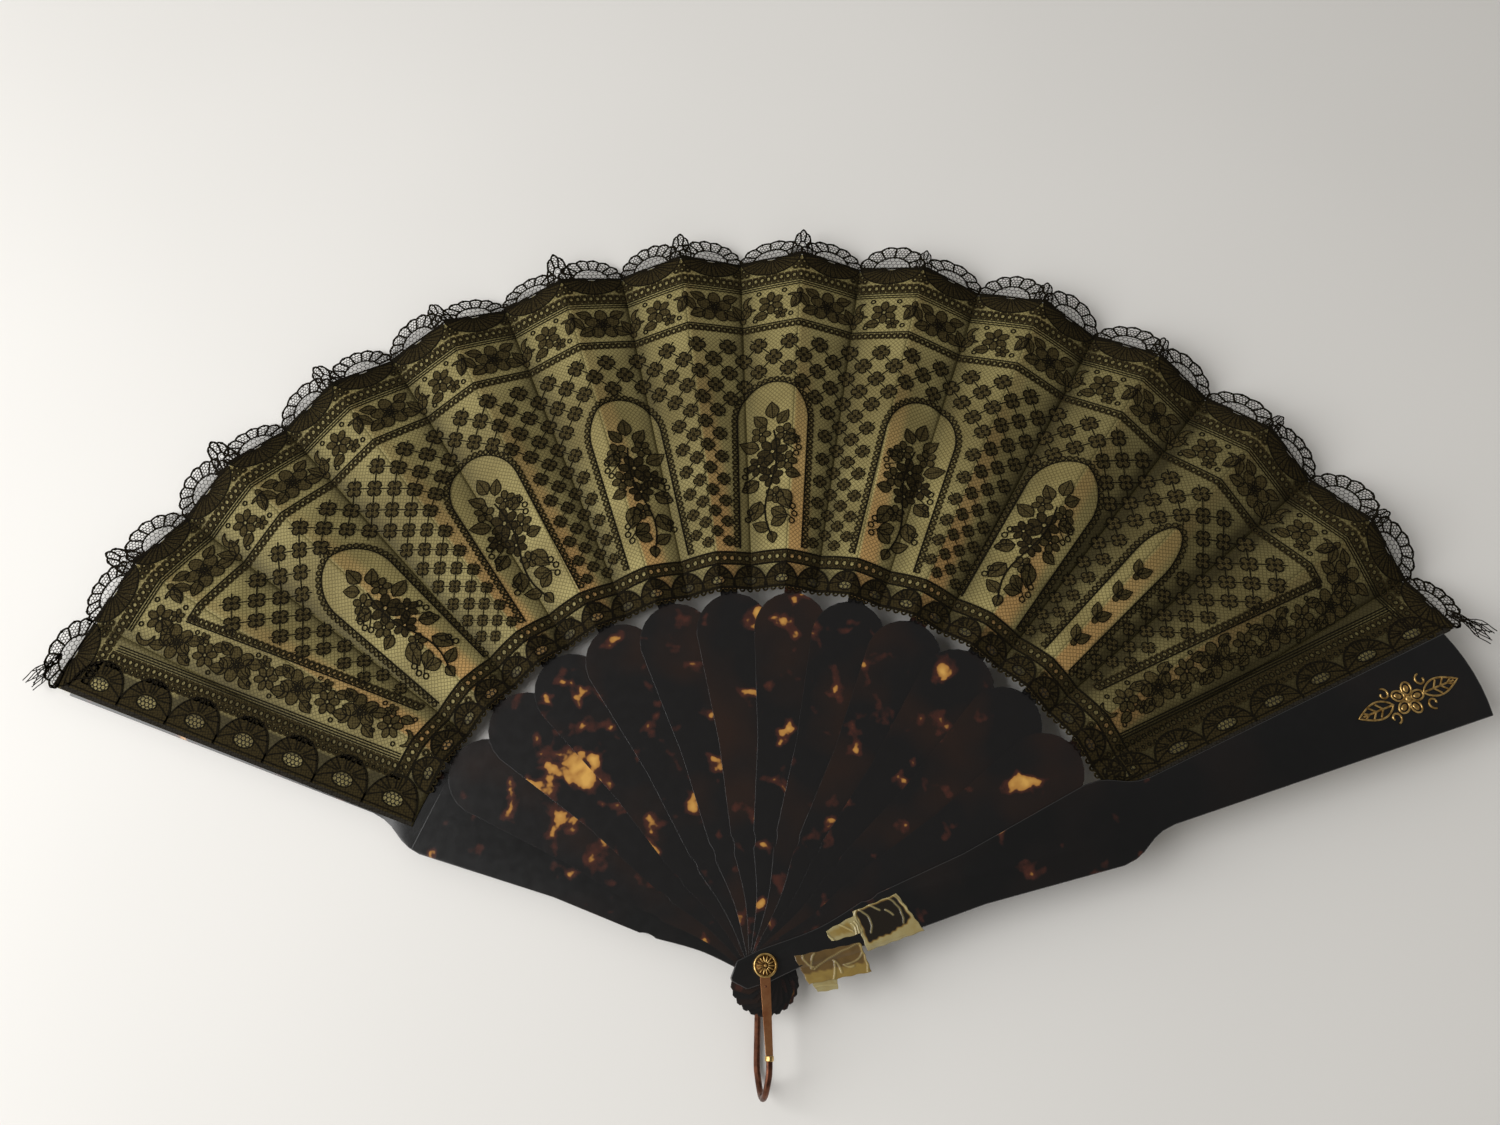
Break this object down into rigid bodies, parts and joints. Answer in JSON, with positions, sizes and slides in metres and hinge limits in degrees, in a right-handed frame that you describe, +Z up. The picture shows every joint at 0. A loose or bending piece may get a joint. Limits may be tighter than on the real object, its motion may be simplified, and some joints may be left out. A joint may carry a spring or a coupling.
{
  "type": "folding fan",
  "caption": "Folding hand fan: dark tortoiseshell sticks and guards on a rosette rivet with a wire bail, and a pleated silk leaf under black lace.",
  "frame": {"origin": "on the rivet's axis, at the flat underside of the rivet's foot, which is the lowest point of the fan", "axes": "+Z up along the rivet, away from the table; +Y along the middle of the open fan, from the rivet to the leaf; +X to the right, seen from above"},
  "size_m": [0.6148, 0.386, 0.0238],
  "materials": {
    "tortoiseshell": "polished tortoiseshell, near black with amber blotches",
    "silk": "olive gold silk, woven",
    "lace": "black silk bobbin lace",
    "copper": "worn copper gilt",
    "gilt": "gilt, polished",
    "tape": "aged clear adhesive tape"
  },
  "bodies": {
    "rear_guard": {"rear_guard": "tortoiseshell", "silk_end_rear": "silk", "lace_end_rear": "lace", "rivet_pin": "copper", "rivet_foot": "copper", "rivet_rosette": "gilt"},
    "stick_01": {"stick_01": "tortoiseshell", "silk_pleat_01": "silk", "lace_pleat_01": "lace"},
    "stick_02": {"stick_02": "tortoiseshell", "silk_pleat_02": "silk", "lace_pleat_02": "lace"},
    "stick_03": {"stick_03": "tortoiseshell", "silk_pleat_03": "silk", "lace_pleat_03": "lace"},
    "stick_04": {"stick_04": "tortoiseshell", "silk_pleat_04": "silk", "lace_pleat_04": "lace"},
    "stick_05": {"stick_05": "tortoiseshell", "silk_pleat_05": "silk", "lace_pleat_05": "lace"},
    "stick_06": {"stick_06": "tortoiseshell", "silk_pleat_06": "silk", "lace_pleat_06": "lace"},
    "stick_07": {"stick_07": "tortoiseshell", "silk_pleat_07": "silk", "lace_pleat_07": "lace"},
    "stick_08": {"stick_08": "tortoiseshell", "silk_pleat_08": "silk", "lace_pleat_08": "lace"},
    "stick_09": {"stick_09": "tortoiseshell", "silk_pleat_09": "silk", "lace_pleat_09": "lace"},
    "stick_10": {"stick_10": "tortoiseshell", "silk_pleat_10": "silk", "lace_pleat_10": "lace"},
    "stick_11": {"stick_11": "tortoiseshell", "silk_pleat_11": "silk", "lace_pleat_11": "lace"},
    "stick_12": {"stick_12": "tortoiseshell", "silk_pleat_12": "silk", "lace_pleat_12": "lace"},
    "front_guard": {"front_guard": "tortoiseshell", "silk_end_front": "silk", "lace_end_front": "lace", "shank_tape": "tape", "neck_tape": "tape", "guard_sprig": "gilt"},
    "bail": {"bail_front_arm": "copper", "bail_ferrule": "gilt", "bail_loop": "copper"}
  },
  "joints": [
    {"name": "fan_fold", "type": "hinge", "parent": "rear_guard", "child": "front_guard", "pos_m": [0, 0, 0], "axis": [0, 0, 1], "range_deg": [0, 135.2], "deforming": ["silk_end_front", "lace_end_front"]},
    {"name": "stick_01_turn", "type": "hinge", "parent": "rear_guard", "child": "stick_01", "pos_m": [0, 0, 0], "axis": [0, 0, 1], "range_deg": [0, 9.11], "deforming": ["silk_pleat_01", "lace_pleat_01"]},
    {"name": "stick_02_turn", "type": "hinge", "parent": "rear_guard", "child": "stick_02", "pos_m": [0, 0, 0], "axis": [0, 0, 1], "range_deg": [0, 19.51], "deforming": ["silk_pleat_02", "lace_pleat_02"]},
    {"name": "stick_03_turn", "type": "hinge", "parent": "rear_guard", "child": "stick_03", "pos_m": [0, 0, 0], "axis": [0, 0, 1], "range_deg": [0, 29.91], "deforming": ["silk_pleat_03", "lace_pleat_03"]},
    {"name": "stick_04_turn", "type": "hinge", "parent": "rear_guard", "child": "stick_04", "pos_m": [0, 0, 0], "axis": [0, 0, 1], "range_deg": [0, 40.31], "deforming": ["silk_pleat_04", "lace_pleat_04"]},
    {"name": "stick_05_turn", "type": "hinge", "parent": "rear_guard", "child": "stick_05", "pos_m": [0, 0, 0], "axis": [0, 0, 1], "range_deg": [0, 50.71], "deforming": ["silk_pleat_05", "lace_pleat_05"]},
    {"name": "stick_06_turn", "type": "hinge", "parent": "rear_guard", "child": "stick_06", "pos_m": [0, 0, 0], "axis": [0, 0, 1], "range_deg": [0, 61.11], "deforming": ["silk_pleat_06", "lace_pleat_06"]},
    {"name": "stick_07_turn", "type": "hinge", "parent": "rear_guard", "child": "stick_07", "pos_m": [0, 0, 0], "axis": [0, 0, 1], "range_deg": [0, 71.51], "deforming": ["silk_pleat_07", "lace_pleat_07"]},
    {"name": "stick_08_turn", "type": "hinge", "parent": "rear_guard", "child": "stick_08", "pos_m": [0, 0, 0], "axis": [0, 0, 1], "range_deg": [0, 81.91], "deforming": ["silk_pleat_08", "lace_pleat_08"]},
    {"name": "stick_09_turn", "type": "hinge", "parent": "rear_guard", "child": "stick_09", "pos_m": [0, 0, 0], "axis": [0, 0, 1], "range_deg": [0, 92.31], "deforming": ["silk_pleat_09", "lace_pleat_09"]},
    {"name": "stick_10_turn", "type": "hinge", "parent": "rear_guard", "child": "stick_10", "pos_m": [0, 0, 0], "axis": [0, 0, 1], "range_deg": [0, 102.71], "deforming": ["silk_pleat_10", "lace_pleat_10"]},
    {"name": "stick_11_turn", "type": "hinge", "parent": "rear_guard", "child": "stick_11", "pos_m": [0, 0, 0], "axis": [0, 0, 1], "range_deg": [0, 113.11], "deforming": ["silk_pleat_11", "lace_pleat_11"]},
    {"name": "stick_12_turn", "type": "hinge", "parent": "rear_guard", "child": "stick_12", "pos_m": [0, 0, 0], "axis": [0, 0, 1], "range_deg": [0, 123.51], "deforming": ["silk_pleat_12", "lace_pleat_12"]},
    {"name": "bail_swing", "type": "hinge", "parent": "rear_guard", "child": "bail", "pos_m": [0, 0, 0], "axis": [0, 0, 1], "range_deg": [-75, 50]}
  ],
  "couplings": [
    {"joint": "stick_01_turn", "follows": "fan_fold", "ratio": 0.067308},
    {"joint": "stick_02_turn", "follows": "fan_fold", "ratio": 0.14423},
    {"joint": "stick_03_turn", "follows": "fan_fold", "ratio": 0.22115},
    {"joint": "stick_04_turn", "follows": "fan_fold", "ratio": 0.29808},
    {"joint": "stick_05_turn", "follows": "fan_fold", "ratio": 0.375},
    {"joint": "stick_06_turn", "follows": "fan_fold", "ratio": 0.45192},
    {"joint": "stick_07_turn", "follows": "fan_fold", "ratio": 0.52885},
    {"joint": "stick_08_turn", "follows": "fan_fold", "ratio": 0.60577},
    {"joint": "stick_09_turn", "follows": "fan_fold", "ratio": 0.68269},
    {"joint": "stick_10_turn", "follows": "fan_fold", "ratio": 0.75962},
    {"joint": "stick_11_turn", "follows": "fan_fold", "ratio": 0.83654},
    {"joint": "stick_12_turn", "follows": "fan_fold", "ratio": 0.91346}
  ]
}
